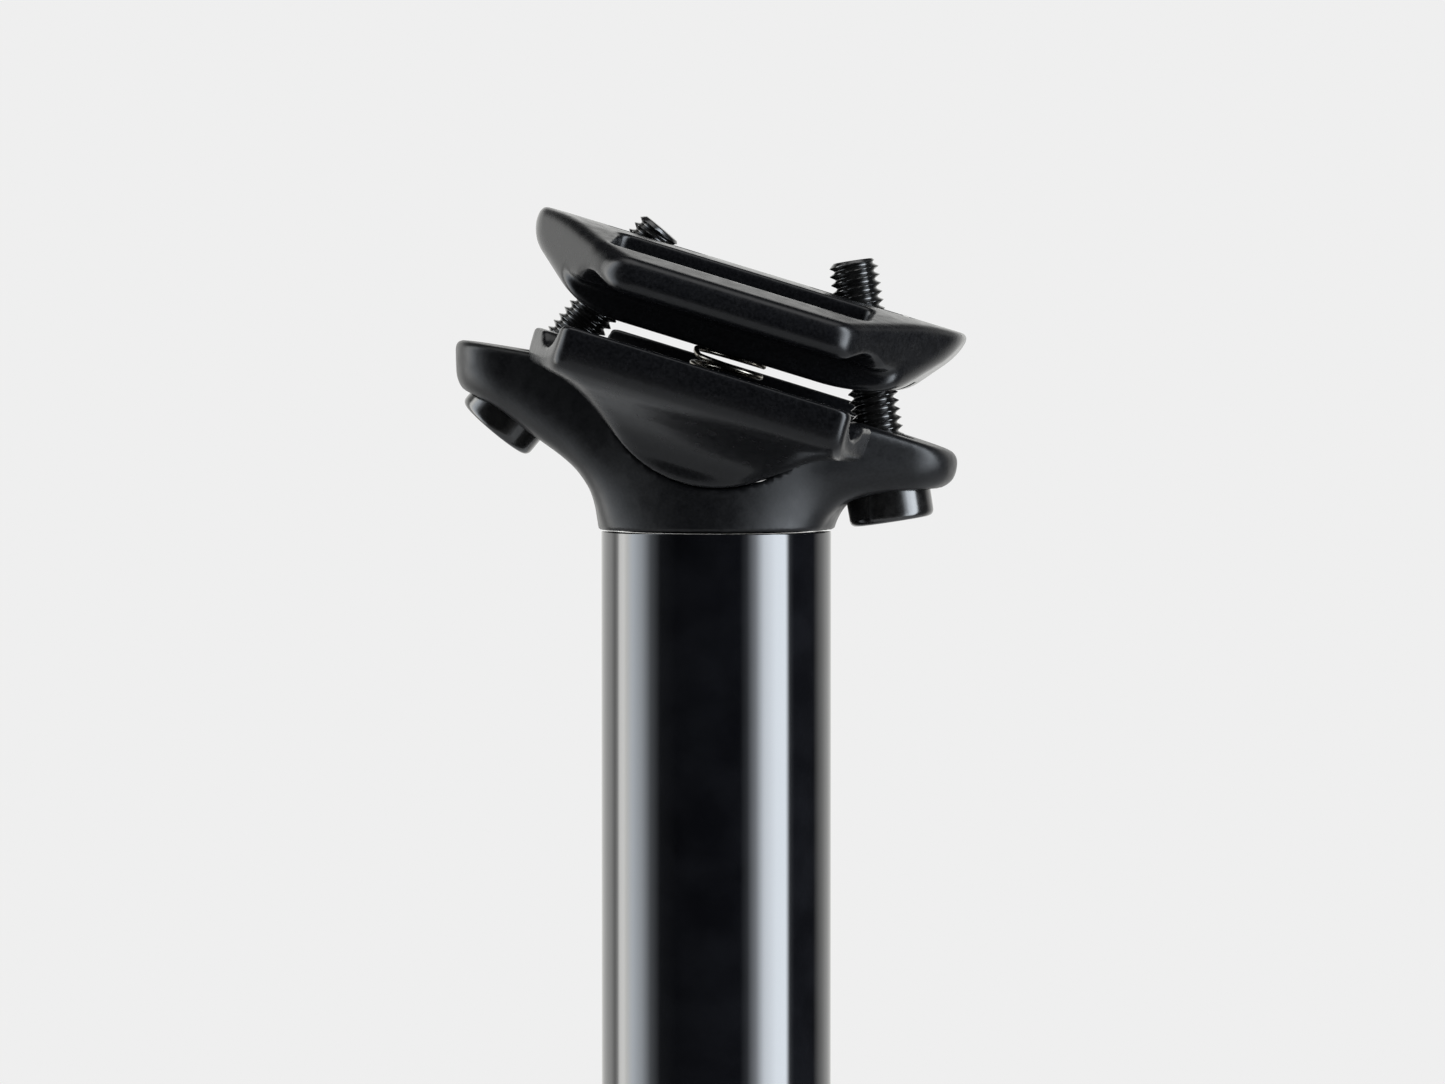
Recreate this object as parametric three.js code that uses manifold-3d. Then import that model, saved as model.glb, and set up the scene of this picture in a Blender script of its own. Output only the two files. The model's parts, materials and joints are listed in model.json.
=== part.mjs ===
// Telescopic suspension seatpost with a two-bolt saddle clamp.
// Millimetres. +Z runs up the post, +X is the bicycle's front, +Y is its left side.
// The origin is on the post's axis, at the outer tube's lower end.

import * as THREE from 'three';
import { mergeVertices } from 'three/addons/utils/BufferGeometryUtils.js';
import { ConvexGeometry } from 'three/addons/geometries/ConvexGeometry.js';
import Module from 'manifold-3d';

const wasm = await Module();
wasm.setup();

// ---- driving dimensions ----
const ROUND = 48; // sides of a large round piece
const SMALL_ROUND = 24; // sides of a bolt, nut or pin
const GAP = 0.3; // between pieces that rest on each other
const FAR = 60; // cutters run this far past what they cut

const OUTER = { radius: 15.8, bore: 14.4, top: 250 };
const STANCHION = { radius: 13.6, bore: 11, foot: 107, top: 330 };
const TRAVEL = 50; // the stanchion's stroke
const SPRING = { wire: 3, radius: 8, turns: 14, bottom: 22, top: 172 };
const BUMPER = { radius: 5.4, top: 105 };
const KEYS = { count: 3, radius: 1, orbit: 14.05, bottom: 128, top: 140 };
const STOP_RING = { bottom: 146.9, top: 148.7, radius: 15 }; // the stanchion's top-out stop
const PIN = { radius: 1.5, z: 176 }; // holds the upper spring seat in the stanchion
const COLLAR = { bottom: 236, top: 256.5, radius: 18.4, thread: 15.95, mouth: 14.9, shoulder: 254 };
const SADDLE_ANGLE = THREE.MathUtils.degToRad(17); // clamp's tilt, nose down
const TILT_CENTRE = { x: 1.4, z: STANCHION.top + 20 };
const SEAT_RADIUS = 14.3; // lower cradle's round belly
const RAIL = { spacing: 44, groove: 3.6, bottom: -3.5, arch: 6.1 };
const NUT = { u: 14.15, w: 8.4, radius: 5.4, flat: 1.2, half: 7, bore: 3.65 };
const BOLT = { radius: 2.9, head: 5, headHeight: 6, length: 31, socket: 5 };
const REAR = { side: -1, lean: THREE.MathUtils.degToRad(40.1), below: 25.98 };
const FRONT = { side: 1, lean: THREE.MathUtils.degToRad(-8.8), below: 22.66 };
const WASHER = { radius: 4.8, crown: 8, thick: 1.8, bore: 3.3 };
const RECESS = { shank: 3.8, mouth: 5.8 }; // the bolt holes in the head
const LOWER = { floor: -1.95, lip: -0.5, belly: 15.5, springPocket: 5.2, boltHole: 4.7 };
const UPPER = { pocketHalf: 15.3, pocketFloor: 7.2, springPocket: 5.6, springRoof: 4.6 };
const CLAMP_SPRING = { wire: 0.85, radius: 4.2, turns: 3.5, bottom: -3.35, top: 4.5 };

// ---- materials ----
const glossBlack = new THREE.MeshStandardMaterial({ color: 0x0b0c0e, roughness: 0.14, metalness: 0.6 });
const satinBlack = new THREE.MeshStandardMaterial({ color: 0x101113, roughness: 0.34, metalness: 0.6 });
const oxideSteel = new THREE.MeshStandardMaterial({ color: 0x18181a, roughness: 0.3, metalness: 0.9 });
const springSteel = new THREE.MeshStandardMaterial({ color: 0x77787a, roughness: 0.3, metalness: 1 });
const plainAlloy = new THREE.MeshStandardMaterial({ color: 0xa9abae, roughness: 0.4, metalness: 1 });
const bushPolymer = new THREE.MeshStandardMaterial({ color: 0xb9b39f, roughness: 0.5, metalness: 0 });
const softRubber = new THREE.MeshStandardMaterial({ color: 0x161616, roughness: 0.8, metalness: 0 });
const amberFoam = new THREE.MeshStandardMaterial({ color: 0x8a6a22, roughness: 0.7, metalness: 0 });

// ---- solids ----

// A closed mesh as a solid, with its faces turned outwards.
function solid(geometry) {
  const bare = geometry.clone();
  bare.deleteAttribute('normal');
  bare.deleteAttribute('uv');
  const merged = mergeVertices(bare, 1e-4);
  const points = merged.attributes.position.array;
  const corners = [];
  let volume = 0;
  const a = new THREE.Vector3();
  const b = new THREE.Vector3();
  const c = new THREE.Vector3();
  const index = merged.index.array;
  for (let i = 0; i < index.length; i += 3) {
    const [p, q, r] = [index[i], index[i + 1], index[i + 2]];
    if (p === q || q === r || r === p) continue;
    corners.push(p, q, r);
    a.fromArray(points, 3 * p);
    b.fromArray(points, 3 * q);
    c.fromArray(points, 3 * r);
    volume += a.dot(b.cross(c));
  }
  if (volume < 0) corners.reverse();
  const mesh = new wasm.Mesh({
    numProp: 3,
    vertProperties: Float32Array.from(points),
    triVerts: Uint32Array.from(corners),
  });
  return new wasm.Manifold(mesh);
}

// A solid as a named mesh of the assembly.
function piece(name, body, material) {
  const data = body.getMesh();
  const geometry = new THREE.BufferGeometry();
  geometry.setAttribute('position', new THREE.BufferAttribute(data.vertProperties, 3));
  geometry.setIndex(new THREE.BufferAttribute(data.triVerts, 1));
  geometry.computeVertexNormals();
  const mesh = new THREE.Mesh(geometry, material);
  mesh.name = name;
  return mesh;
}

// A profile of [radius, height] points turned about Z.
function turned(profile, sides = ROUND) {
  const points = profile.map(([r, z]) => new THREE.Vector2(r, z));
  if (profile[0][0] > 0) points.push(points[0].clone());
  const geometry = new THREE.LatheGeometry(points, sides);
  geometry.rotateX(Math.PI / 2);
  return solid(geometry);
}

// A tube between two heights.
function ring(inner, outer, bottom, top, sides = ROUND) {
  return turned([[inner, bottom], [outer, bottom], [outer, top], [inner, top]], sides);
}

// A solid round bar between two heights.
function bar(radius, bottom, top, sides = ROUND) {
  return turned([[0, bottom], [radius, bottom], [radius, top], [0, top]], sides);
}

function extruded(outline, depth) {
  const shape = new THREE.Shape(outline.map(([x, y]) => new THREE.Vector2(x, y)));
  const geometry = new THREE.ExtrudeGeometry(shape, { depth, bevelEnabled: false });
  geometry.translate(0, 0, -depth / 2);
  return geometry;
}

// An outline of [x, z] points, as thick as width along Y.
function slabAcrossY(outline, width) {
  return solid(extruded(outline, width).rotateX(Math.PI / 2));
}

// An outline of [y, z] points, as long as length along X.
function slabAlongX(outline, length) {
  const turn = new THREE.Matrix4().makeBasis(
    new THREE.Vector3(0, 1, 0),
    new THREE.Vector3(0, 0, 1),
    new THREE.Vector3(1, 0, 0),
  );
  return solid(extruded(outline, length).applyMatrix4(turn));
}

// An outline of [x, y] points between two heights.
function slabUpZ(outline, bottom, top) {
  const geometry = extruded(outline, top - bottom);
  geometry.translate(0, 0, (bottom + top) / 2);
  return solid(geometry);
}

function box(x0, x1, y0, y1, z0, z1) {
  const geometry = new THREE.BoxGeometry(x1 - x0, y1 - y0, z1 - z0);
  geometry.translate((x0 + x1) / 2, (y0 + y1) / 2, (z0 + z1) / 2);
  return solid(geometry);
}

// A round bar lying along Y, centred at x, z.
function crossBar(radius, x, z, width, sides = ROUND) {
  const geometry = new THREE.CylinderGeometry(radius, radius, width, sides);
  geometry.translate(x, 0, z);
  return solid(geometry);
}

function arc(x, z, radius, fromDegrees, toDegrees, steps) {
  const points = [];
  for (let i = 0; i <= steps; i += 1) {
    const t = THREE.MathUtils.degToRad(fromDegrees + ((toDegrees - fromDegrees) * i) / steps);
    points.push([x + radius * Math.cos(t), z + radius * Math.sin(t)]);
  }
  return points;
}

class Helix extends THREE.Curve {
  constructor(radius, bottom, top, turns) {
    super();
    Object.assign(this, { radius, bottom, top, turns });
  }

  getPoint(t, target = new THREE.Vector3()) {
    const angle = 2 * Math.PI * this.turns * t;
    const height = this.bottom + (this.top - this.bottom) * t;
    return target.set(this.radius * Math.cos(angle), this.radius * Math.sin(angle), height);
  }
}

// A coil spring between two heights; its wire's outside touches both.
function coil({ wire, radius, turns, bottom, top }, stepsPerTurn) {
  const section = new THREE.Shape(arc(0, 0, wire / 2, 0, 315, 7).map(([x, y]) => new THREE.Vector2(x, y)));
  const path = new Helix(radius, bottom + wire / 2, top - wire / 2, turns);
  const steps = Math.round(turns * stepsPerTurn);
  return solid(new THREE.ExtrudeGeometry(section, { steps, extrudePath: path, bevelEnabled: false }));
}

// ---- fixed outer post ----

function outerTube() {
  const { radius, bore, top } = OUTER;
  let tube = turned([
    [bore, 0], [radius - 0.4, 0], [radius, 0.4], [radius, top - 0.5], [radius - 0.5, top], [bore, top],
  ]);
  // Three keyways stop the stanchion from turning; a groove holds the top-out ring.
  for (let i = 0; i < KEYS.count; i += 1) {
    const angle = (2 * Math.PI * i) / KEYS.count;
    const keyway = bar(KEYS.radius + 0.2, KEYS.bottom - TRAVEL - 10, top - 50, 12);
    tube = tube.subtract(keyway.translate([KEYS.orbit * Math.cos(angle), KEYS.orbit * Math.sin(angle), 0]));
  }
  return tube.subtract(ring(bore - 1, STOP_RING.radius + 0.1, STOP_RING.bottom - GAP, STOP_RING.top + GAP));
}

function collarNut() {
  const { bottom, top, radius, thread, mouth, shoulder } = COLLAR;
  let nut = turned([
    [thread, bottom], [radius - 1, bottom], [radius, bottom + 1], [radius, top - 1.2],
    [radius - 1.2, top], [mouth, top], [mouth, shoulder], [thread, shoulder],
  ]);
  const notches = 6;
  const [notchDepth, notchHalf] = [0.9, 1.6];
  for (let i = 0; i < notches; i += 1) {
    const notch = box(radius - notchDepth, radius + 3, -notchHalf, notchHalf, bottom + 4, top - 5);
    nut = nut.subtract(notch.rotate([0, 0, (360 * i) / notches]));
  }
  return nut;
}

function wiperSeal() {
  const [lip, bottom, top] = [13.75, OUTER.top + GAP, 257.5];
  const under = COLLAR.shoulder - GAP;
  return turned([
    [lip, bottom], [15.6, bottom], [15.6, under], [14.6, under], [14.6, top - 1.5], [14, top], [lip, top],
  ]);
}

function outerPost() {
  const post = new THREE.Group();
  post.add(
    piece('outer_tube', outerTube(), satinBlack),
    piece('collar_nut', collarNut(), satinBlack),
    piece('wiper_seal', wiperSeal(), softRubber),
    piece('upper_bushing', ring(13.7, 14.32, 218, 246), bushPolymer),
    piece('topout_ring', ring(13.8, STOP_RING.radius, STOP_RING.bottom, STOP_RING.top), springSteel),
  );
  return post;
}

// ---- spring, its lower seat and the preload plug ----

function lowerSpringSeat() {
  const rest = SPRING.bottom - 0.2;
  const seat = turned([[0, 14], [14.1, 14], [14.1, 20], [9.9, 20], [9.9, rest], [6, rest], [6, 26], [0, 26]]);
  return seat.add(bar(2.2, 25, 44, SMALL_ROUND));
}

function preloadPlug() {
  const plug = turned([[0, 2], [13.4, 2], [14.1, 2.7], [14.1, 13], [13.7, 13.7], [0, 13.7]]);
  const acrossFlats = 8;
  return plug.subtract(bar(acrossFlats / Math.sqrt(3), -1, 10, 6));
}

// The bumper stands inside the spring, on the lower seat's short post.
function bottomBumper() {
  const bumper = bar(BUMPER.radius, 26 + GAP, BUMPER.top, SMALL_ROUND);
  return bumper.subtract(bar(2.2 + GAP, 20, 46, SMALL_ROUND));
}

function springPack() {
  const pack = new THREE.Group();
  pack.add(
    piece('lower_spring_seat', lowerSpringSeat(), plainAlloy),
    piece('bottom_bumper', bottomBumper(), amberFoam),
    piece('main_spring', coil(SPRING, 12), springSteel),
    piece('preload_plug', preloadPlug(), plainAlloy),
  );
  return pack;
}

// ---- stanchion ----

function stanchionTube() {
  const { radius, bore, foot, top } = STANCHION;
  let tube = ring(bore, radius, foot + GAP, top - GAP);
  for (let i = 0; i < KEYS.count; i += 1) {
    const angle = (2 * Math.PI * i) / KEYS.count;
    const pocket = bar(KEYS.radius + 0.1, KEYS.bottom - 0.2, KEYS.top + 0.2, 12);
    tube = tube.subtract(pocket.translate([KEYS.orbit * Math.cos(angle), KEYS.orbit * Math.sin(angle), 0]));
  }
  return tube.subtract(crossBar(PIN.radius + 0.2, 0, PIN.z, FAR, SMALL_ROUND));
}

function footNut() {
  return turned([[10.1, 102], [14.1, 102], [14.1, 106.9], [10.85, 106.9], [10.85, 117], [10.1, 117]]);
}

function upperSpringSeat() {
  const top = SPRING.top + 8;
  const boss = SPRING.top - 6;
  const rest = SPRING.top + 0.2;
  const seat = turned([[0, boss], [6, boss], [6, rest], [10.85, rest], [10.85, top], [0, top]]);
  return seat.subtract(crossBar(PIN.radius + 0.2, 0, PIN.z, FAR, SMALL_ROUND));
}

function stanchion() {
  const group = new THREE.Group();
  group.add(
    piece('stanchion_tube', stanchionTube(), glossBlack),
    piece('foot_bushing', ring(13.7, 14.3, 108, 124), bushPolymer),
    piece('foot_nut', footNut(), plainAlloy),
    piece('topout_bumper', ring(13.7, 14.25, 142, 146.5), softRubber),
    piece('upper_spring_seat', upperSpringSeat(), plainAlloy),
    piece('spring_seat_pin', crossBar(PIN.radius, 0, PIN.z, 26.4, SMALL_ROUND), springSteel),
  );
  for (let i = 0; i < KEYS.count; i += 1) {
    const angle = (2 * Math.PI * i) / KEYS.count;
    const key = piece(`key_${i + 1}`, bar(KEYS.radius, KEYS.bottom, KEYS.top, 12), oxideSteel);
    key.position.set(KEYS.orbit * Math.cos(angle), KEYS.orbit * Math.sin(angle), 0);
    group.add(key);
  }
  group.add(seatHead());
  return group;
}

// ---- forged head ----

// The bolt's own group: its axis is Z and the barrel nut's centre is its origin.
function boltFrame(bolt) {
  const sin = Math.sin(SADDLE_ANGLE);
  const cos = Math.cos(SADDLE_ANGLE);
  const u = bolt.side * NUT.u;
  const frame = new THREE.Group();
  frame.position.set(TILT_CENTRE.x + u * cos + NUT.w * sin, 0, TILT_CENTRE.z - u * sin + NUT.w * cos);
  frame.rotation.y = bolt.lean;
  return frame;
}

// A solid drawn in the bolt's group, moved to where that group stands.
function placedAtBolt(body, bolt) {
  const frame = boltFrame(bolt);
  const lean = THREE.MathUtils.radToDeg(bolt.lean);
  return body.rotate([0, lean, 0]).translate(frame.position.toArray());
}

// The round washer seat's centre of curvature, along the bolt.
function seatCentre(bolt) {
  return -bolt.below + BOLT.headHeight + GAP + WASHER.thick - WASHER.crown;
}

function boltRecess(bolt) {
  const centre = seatCentre(bolt);
  const shank = bar(RECESS.shank, centre, FAR, SMALL_ROUND);
  const mouth = bar(RECESS.mouth, -FAR, centre + 1, SMALL_ROUND);
  const crown = crossBar(WASHER.crown + GAP, 0, centre, FAR);
  const seat = bar(RECESS.mouth, centre, centre + 12, SMALL_ROUND).intersect(crown);
  return placedAtBolt(shank.add(mouth).add(seat), bolt);
}

// The outline round a row of circles, as a tight belt would lie.
function belt(circles) {
  const points = circles.flatMap(([x, y, radius]) => arc(x, y, radius, 0, 350, 35));
  points.sort((a, b) => a[0] - b[0] || a[1] - b[1]);
  const turnsLeft = (a, b, c) => (b[0] - a[0]) * (c[1] - a[1]) - (b[1] - a[1]) * (c[0] - a[0]) > 1e-6;
  const chain = (list) => {
    const hull = [];
    for (const point of list) {
      while (hull.length > 1 && !turnsLeft(hull.at(-2), hull.at(-1), point)) hull.pop();
      hull.push(point);
    }
    return hull.slice(0, -1);
  };
  return chain(points).concat(chain(points.slice().reverse()));
}

// The head's outline from the side, with the tube's end at height 0.
function headSide() {
  return [
    [-13.6, 0], [-13.9, 2.4], [-14.4, 4.4], [-15.6, 6.6], [-17.5, 8.6], [-20.9, 11.4], [-25.2, 15.1],
    [-28.9, 16.9], [-30.6, 18.4], [-31, 20.4], [-30.6, 22.3], [-29.9, 22.9], [-22.2, 21.6], [-14, 20.2],
    [14.2, 13.1], [17.5, 13.1], [28.3, 9.8], [28.9, 8.8], [28.7, 7.1], [27.4, 5.9], [25.4, 5.5],
    [21.9, 5.1], [18.4, 4.6], [16.4, 3.9], [15, 3], [14.1, 1.8], [13.7, 0.8], [13.6, 0],
  ];
}

function seatHead() {
  const { radius, top } = STANCHION;
  const end = [[-9, 0], [9, 0], [radius, 9], [radius, 30], [-radius, 30], [-radius, 9]];
  const plan = belt([[-22, 0, 9], [0, 0, radius], [19.9, 0, 9]]);
  const fromSide = slabAcrossY(headSide(), FAR);
  const arms = fromSide.intersect(slabAlongX(end, 2 * FAR)).intersect(slabUpZ(plan, -1, 30));
  let head = arms.add(bar(radius, 0, 14)).translate([0, 0, top]);
  // A hollow spigot runs down inside the stanchion.
  const [spigot, hollow] = [STANCHION.bore - 0.15, 7.5];
  head = head.add(ring(hollow, spigot, top - 22, top + 1));
  head = head.subtract(bar(hollow, top - 30, top + 2));
  head = head.subtract(crossBar(SEAT_RADIUS + GAP, TILT_CENTRE.x, TILT_CENTRE.z, FAR, 72));
  head = head.subtract(boltRecess(REAR)).subtract(boltRecess(FRONT));
  return piece('seat_head', head, satinBlack);
}

// ---- saddle cradles, drawn about the tilt centre with X along the rails ----

function inCradleFrame(body, bolt) {
  const back = THREE.MathUtils.radToDeg(bolt.lean - SADDLE_ANGLE);
  return body.rotate([0, back, 0]).translate([bolt.side * NUT.u, 0, NUT.w]);
}

function lowerCradle() {
  const { floor, lip, belly } = LOWER;
  const grooveCentre = RAIL.bottom + RAIL.groove;
  const rail = RAIL.spacing / 2;
  // One side: rail groove, thin outer lip, and the skirt that tapers to the belly.
  const section = [
    [belly - 0.5, floor], [19, floor], ...arc(rail, grooveCentre, RAIL.groove, 216, 324, 9),
    [25.3, -1.4], [25.6, lip], [27.2, lip], [27.2, -4.1], [26.5, -5.4], [24.5, -6.2], [21.6, -6.9],
    [18.8, -8.2], [16.9, -10.2], [15.8, -12.6], [belly, -SEAT_RADIUS], [belly - 0.5, -SEAT_RADIUS],
  ];
  // Seen from the side: level under the grooves, then round the belly.
  const ends = [[13.4, -6.9], [15.2, -5.9], [17.5, -5.3], [21.5, -5.2], [21.5, 0]];
  const skirt = arc(0, 0, SEAT_RADIUS, -146, -34, 16).concat(ends, ends.map(([x, z]) => [-x, z]).reverse());
  const plan = [
    [16.6, 28], [21.3, 16], [21.3, -16], [16.6, -28], [-16.6, -28], [-21.3, -16], [-21.3, 16], [-16.6, 28],
  ];
  const wing = slabAlongX(section, FAR);
  const otherWing = slabAlongX(section.map(([y, z]) => [-y, z]), FAR);
  const wings = wing.add(otherWing).intersect(slabAcrossY(skirt, FAR)).intersect(slabUpZ(plan, -20, 5));
  const block = crossBar(SEAT_RADIUS, 0, 0, 2 * belly, 72).intersect(box(-20, 20, -20, 20, -20, floor));
  let cradle = wings.add(block);
  cradle = cradle.subtract(bar(LOWER.springPocket, floor - 1.5, 5, SMALL_ROUND));
  for (const bolt of [REAR, FRONT]) {
    cradle = cradle.subtract(inCradleFrame(bar(LOWER.boltHole, -FAR, FAR, SMALL_ROUND), bolt));
  }
  return cradle;
}

// The upper cradle's six-sided plan, drawn in towards the bottom.
function upperCradleBlank() {
  const corners = [];
  for (const su of [-1, 1]) {
    for (const sv of [-1, 1]) {
      corners.push(new THREE.Vector3(su * 13.4, sv * 27.3, 12), new THREE.Vector3(su * 13.6, sv * 27.3, 1));
      corners.push(new THREE.Vector3(su * 26.1, sv * 6, 12), new THREE.Vector3(su * 26.1, sv * 6, 8));
      corners.push(new THREE.Vector3(su * 21.6, sv * 5.6, 1));
    }
  }
  return solid(new ConvexGeometry(corners));
}

// A barrel nut's trough, open at the top, and the slot below it for the bolt.
function nutRoom() {
  const radius = NUT.radius + GAP;
  const half = NUT.half + 0.6;
  const [slotLong, slotWide] = [4.9, 3.6];
  const trough = crossBar(radius, 0, 0, 2 * half, 36).add(box(-radius, radius, -half, half, 0, 20));
  return trough.add(box(-slotLong, slotLong, -slotWide, slotWide, -FAR, 0));
}

function upperCradle() {
  const rail = RAIL.spacing / 2;
  const half = [
    [0, 1.44], [16.8, 1.44], [17.3, 4.4], [19.2, 4.75],
    ...arc(rail, RAIL.arch - RAIL.groove, RAIL.groove, 141, 39, 8),
    [26, 4.75], [27.2, 6.26], [27.2, 8.1], [26.2, 8.8], [20.7, 9.55], [12, 11.2], [11, 11.57], [0, 11.57],
  ];
  const section = half.concat(half.slice(1, -1).reverse().map(([y, z]) => [-y, z]));
  const side = [
    [-15.7, 1.44], [15.7, 1.44], [17.4, 2.15], [19.3, 3], [21.9, 4.9], [25.4, 7.7], [25.9, 9.6], [25.2, 11.2], [23.6, 11.57],
    [-24.6, 11.57], [-25.8, 11], [-26, 8.3], [-25.2, 6.9], [-21.9, 4.6], [-19.3, 3], [-17.4, 2.15],
  ];
  let plate = slabAlongX(section, 2 * FAR).intersect(slabAcrossY(side, 2 * FAR));
  plate = plate.intersect(upperCradleBlank());
  const { pocketHalf, pocketFloor, springPocket, springRoof } = UPPER;
  for (const [y0, y1] of [[-20.7, -12.3], [12.3, 20.7]]) {
    plate = plate.subtract(box(-pocketHalf, pocketHalf, y0, y1, pocketFloor, 20));
  }
  plate = plate.subtract(bar(springPocket, 0, springRoof, SMALL_ROUND));
  for (const bolt of [REAR, FRONT]) {
    plate = plate.subtract(inCradleFrame(nutRoom(), bolt));
  }
  return plate;
}

function clamp() {
  const group = new THREE.Group();
  group.position.set(TILT_CENTRE.x, 0, TILT_CENTRE.z);
  group.rotation.y = SADDLE_ANGLE;
  group.add(
    piece('lower_cradle', lowerCradle(), satinBlack),
    piece('upper_cradle', upperCradle(), satinBlack),
    piece('cradle_spring', coil(CLAMP_SPRING, 14), springSteel),
  );
  return group;
}

// ---- clamp bolts, their washers and barrel nuts ----

function barrelNut() {
  const nut = crossBar(NUT.radius, 0, 0, 2 * NUT.half, 36).intersect(box(-20, 20, -20, 20, -20, NUT.flat));
  return nut.subtract(bar(NUT.bore, -20, 20, SMALL_ROUND));
}

function seatWasher(bolt) {
  const under = -bolt.below + BOLT.headHeight + GAP;
  const disc = ring(WASHER.bore, WASHER.radius, under, under + 3, SMALL_ROUND);
  return disc.intersect(crossBar(WASHER.crown, 0, seatCentre(bolt), FAR));
}

function clampBolt(bolt) {
  const bottom = -bolt.below;
  const top = bottom + BOLT.length;
  const under = bottom + BOLT.headHeight;
  const body = turned([
    [0, bottom], [BOLT.head - 0.6, bottom], [BOLT.head, bottom + 0.6],
    [BOLT.head, under - 0.3], [BOLT.head - 0.3, under], [BOLT.radius, under],
    [BOLT.radius, top - 0.6], [BOLT.radius - 0.6, top], [0, top],
  ], SMALL_ROUND);
  return body.subtract(bar(BOLT.socket / Math.sqrt(3), bottom - 1, bottom + 3, 6));
}

function boltSet(bolt, end) {
  const frame = boltFrame(bolt);
  frame.add(
    piece(`${end}_nut`, barrelNut(), oxideSteel),
    piece(`${end}_washer`, seatWasher(bolt), oxideSteel),
    piece(`${end}_bolt`, clampBolt(bolt), oxideSteel),
  );
  return frame;
}

const seatpost = new THREE.Group();
seatpost.add(outerPost(), springPack(), stanchion());
seatpost.add(clamp(), boltSet(REAR, 'rear'), boltSet(FRONT, 'front'));

export default seatpost;
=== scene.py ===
import json
import math

import bpy
import numpy as np
from mathutils import Matrix, Vector


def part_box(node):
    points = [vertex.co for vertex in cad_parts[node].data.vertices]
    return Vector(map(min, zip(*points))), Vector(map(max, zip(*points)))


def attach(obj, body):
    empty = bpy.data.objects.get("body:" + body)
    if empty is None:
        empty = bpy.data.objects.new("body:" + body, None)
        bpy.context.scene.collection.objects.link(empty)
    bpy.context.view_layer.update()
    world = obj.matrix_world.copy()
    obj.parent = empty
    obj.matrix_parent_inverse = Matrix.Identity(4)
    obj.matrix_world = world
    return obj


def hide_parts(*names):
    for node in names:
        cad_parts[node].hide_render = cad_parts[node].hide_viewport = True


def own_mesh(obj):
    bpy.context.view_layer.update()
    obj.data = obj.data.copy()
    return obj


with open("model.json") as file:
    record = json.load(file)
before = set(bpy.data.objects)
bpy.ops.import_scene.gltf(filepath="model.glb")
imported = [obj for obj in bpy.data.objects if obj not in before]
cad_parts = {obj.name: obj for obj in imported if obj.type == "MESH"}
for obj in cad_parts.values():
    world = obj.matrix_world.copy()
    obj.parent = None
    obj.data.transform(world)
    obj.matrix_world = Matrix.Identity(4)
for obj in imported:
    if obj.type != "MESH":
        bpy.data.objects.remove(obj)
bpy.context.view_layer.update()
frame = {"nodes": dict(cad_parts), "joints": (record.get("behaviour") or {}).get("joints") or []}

MM = 0.001

# ---------------------------------------------------------------- places, all taken from the frame

JOINTS = {joint["name"]: joint for joint in frame["joints"]}


def joint_place(name):
    """Where a joint is, in millimetres."""
    return Vector(JOINTS[name]["pos_m"]) / MM


RAIL_UP = Vector(JOINTS["clamp_lift"]["axis"]).normalized()  # square to the saddle rails
RAIL_FRONT = Vector((RAIL_UP.z, 0, -RAIL_UP.x))
TILT_CENTRE = joint_place("saddle_tilt")
SHAFT_RADIUS = 13.6
SHAFT_BORE = 11  # its radius
BELLY = 14.3  # radius of the lower cradle's round belly
TROUGH_GAP = 0.1  # between the belly and the head's trough
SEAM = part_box("stanchion_tube")[1].z / MM + 0.3  # where the CAD tube meets the head
SEAM_LINE = SEAM + 0.45
HALF_SEAM = 0.12  # the tube and the head each stop this far from the seam line

BOLTS = {}
for end in ("rear", "front"):
    axis = Vector(JOINTS[f"{end}_bolt_turn"]["axis"]).normalized()
    nut = joint_place(f"{end}_nut_swivel")
    seat = joint_place(f"{end}_bolt_turn")
    BOLTS[end] = {"axis": axis, "nut": nut, "seat": seat, "lean": math.atan2(axis.x, axis.z)}


def cradle_point(point):
    """A row-frame point as (along the rails, across, square to the rails) from the tilt centre."""
    from_centre = point - TILT_CENTRE
    return Vector((from_centre.dot(RAIL_FRONT), from_centre.y, from_centre.dot(RAIL_UP)))


CRADLE_TO_ROW = Matrix((
    (RAIL_FRONT.x, 0, RAIL_UP.x, TILT_CENTRE.x),
    (0, 1, 0, TILT_CENTRE.y),
    (RAIL_FRONT.z, 0, RAIL_UP.z, TILT_CENTRE.z),
    (0, 0, 0, 1),
))


def bolt_to_row(end, origin):
    """The bolt's own frame: Z runs up its axis from origin, Y stays across the bicycle."""
    lean = Matrix.Rotation(BOLTS[end]["lean"], 4, "Y")
    return Matrix.Translation(origin) @ lean


# ---------------------------------------------------------------- distance fields, in millimetres

def smin(a, b, blend):
    """The union of two fields, with a fillet where they meet."""
    near = np.maximum(blend - np.abs(a - b), 0) / blend
    return np.minimum(a, b) - near * near * blend / 4


def smax(a, b, blend):
    """What two fields share, with a rounded edge."""
    return -smin(-a, -b, blend)


def cut(body, tool, blend):
    return smax(body, -tool, blend)


def smooth_line(points, steps=5):
    """An open line through the points as a Catmull-Rom curve."""
    p = np.array(points, float)
    p = np.vstack([2 * p[0] - p[1], p, 2 * p[-1] - p[-2]])
    t = np.linspace(0, 1, steps, endpoint=False)[:, None]
    out = []
    for a, b, c, d in zip(p[:-3], p[1:-2], p[2:-1], p[3:]):
        out.append(b + 0.5 * t * (c - a + t * (2 * a - 5 * b + 4 * c - d + t * (3 * (b - c) + d - a))))
    return [tuple(q) for q in np.vstack(out + [p[-2:-1]])]


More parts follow.
